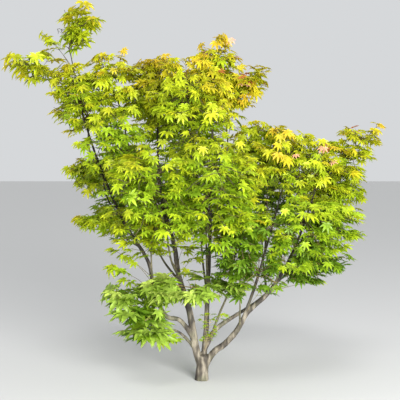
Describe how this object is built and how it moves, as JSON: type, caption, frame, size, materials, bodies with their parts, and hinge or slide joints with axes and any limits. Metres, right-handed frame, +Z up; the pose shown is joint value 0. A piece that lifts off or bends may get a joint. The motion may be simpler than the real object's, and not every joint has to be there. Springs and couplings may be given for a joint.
{
  "type": "japanese maple tree",
  "caption": "Young multi-stemmed broadleaf garden tree in early leaf: a short trunk forks low into rising boughs that end in masses of lobed leaves.",
  "frame": {"origin": "centre of the flat cut under the trunk, at ground level", "axes": "+Z up along the trunk, +X to the viewer's right in the view that shows the widest crown, -Y towards that viewer"},
  "size_m": [1.9765, 1.6359, 1.998],
  "materials": {
    "bark": "matte grey-brown bark, nearly smooth",
    "leaves": "satin fresh green leaves",
    "young_leaves": "satin yellow-green young leaves"
  },
  "bodies": {
    "root": {"trunk": "bark", "left_stem": "bark", "middle_stem": "bark", "right_stem": "bark", "left_whip": "bark", "left_low_bough": "bark", "left_spray_bough": "bark", "left_side_bough": "bark", "left_shoulder_bough": "bark", "left_out_bough": "bark", "low_pad_bough": "bark", "front_left_bough": "bark", "front_low_left_bough": "bark", "left_inner_bough": "bark", "ridge_bough": "bark", "front_mid_bough": "bark", "high_front_bough": "bark", "right_top_bough": "bark", "right_low_bough": "bark", "front_low_right_bough": "bark", "right_tuft_bough": "bark", "right_inner_bough": "bark", "right_fill_bough": "bark", "right_mid_bough": "bark", "right_out_bough": "bark", "right_shoulder_bough": "bark", "back_left_bough": "bark", "back_mid_bough": "bark", "back_high_bough": "bark", "back_right_bough": "bark", "crown_top_foliage": "young_leaves", "crown_peak_foliage": "young_leaves", "right_tip_foliage": "young_leaves", "top_plume_foliage": "young_leaves", "low_left_foliage": "leaves", "left_spray_foliage": "young_leaves", "left_side_foliage": "leaves", "left_shoulder_foliage": "young_leaves", "left_out_foliage": "leaves", "low_pad_foliage": "leaves", "front_left_foliage": "leaves", "front_low_left_foliage": "leaves", "left_inner_foliage": "leaves", "ridge_foliage": "young_leaves", "front_mid_foliage": "leaves", "high_front_foliage": "young_leaves", "right_top_foliage": "young_leaves", "front_low_right_foliage": "leaves", "right_tuft_foliage": "leaves", "right_low_foliage": "leaves", "right_inner_foliage": "young_leaves", "right_fill_foliage": "leaves", "right_mid_foliage": "leaves", "right_out_foliage": "leaves", "right_shoulder_foliage": "young_leaves", "back_left_foliage": "leaves", "back_mid_foliage": "leaves", "back_high_foliage": "young_leaves", "back_right_foliage": "leaves"}
  },
  "joints": []
}
